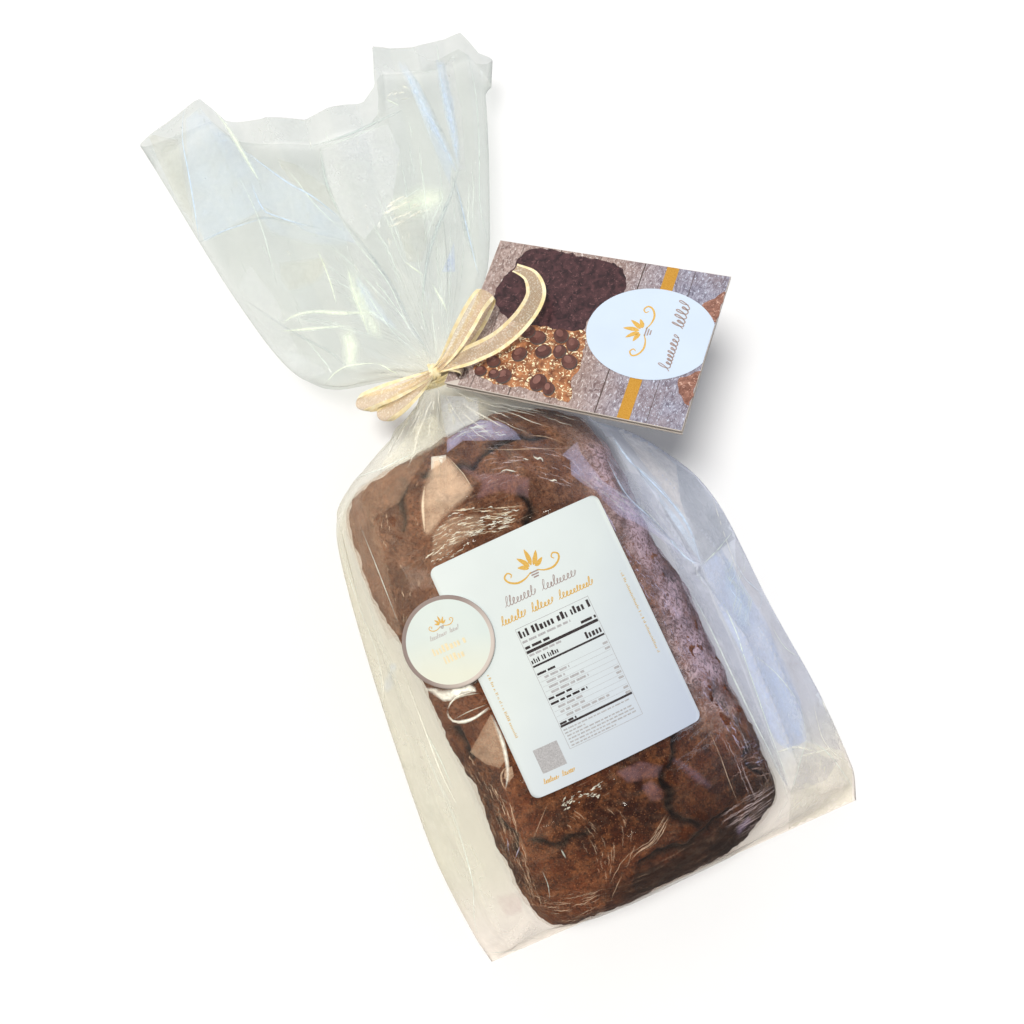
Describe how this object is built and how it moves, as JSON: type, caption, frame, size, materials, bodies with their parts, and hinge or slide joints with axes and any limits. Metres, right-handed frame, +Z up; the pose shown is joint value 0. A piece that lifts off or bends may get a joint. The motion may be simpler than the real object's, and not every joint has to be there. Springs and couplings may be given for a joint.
{
  "type": "wrapped pumpkin bread loaf in a tied gift bag",
  "caption": "Dark domed loaf cake in cling film inside a clear gusseted gift bag that lies on its back, tied at the neck with a ribbon and a punched folded card.",
  "frame": {"origin": "middle of the part's footprint, on the surface it lies on", "axes": "+X to the right of the label as it is read, +Y from the bag's bottom seam to its tied neck and open end, +Z up"},
  "size_m": [0.2176, 0.4102, 0.0822],
  "materials": {
    "film": "clear glossy film",
    "crust": "matt baked crust",
    "label": "smooth coated paper",
    "round_label": "smooth coated paper",
    "card": "satin printed card",
    "ribbon": "sheer with satin edges"
  },
  "bodies": {
    "root": {"bag": "film", "label": "label", "round_label": "round_label", "card": "card", "ribbon": "ribbon"}
  },
  "joints": []
}
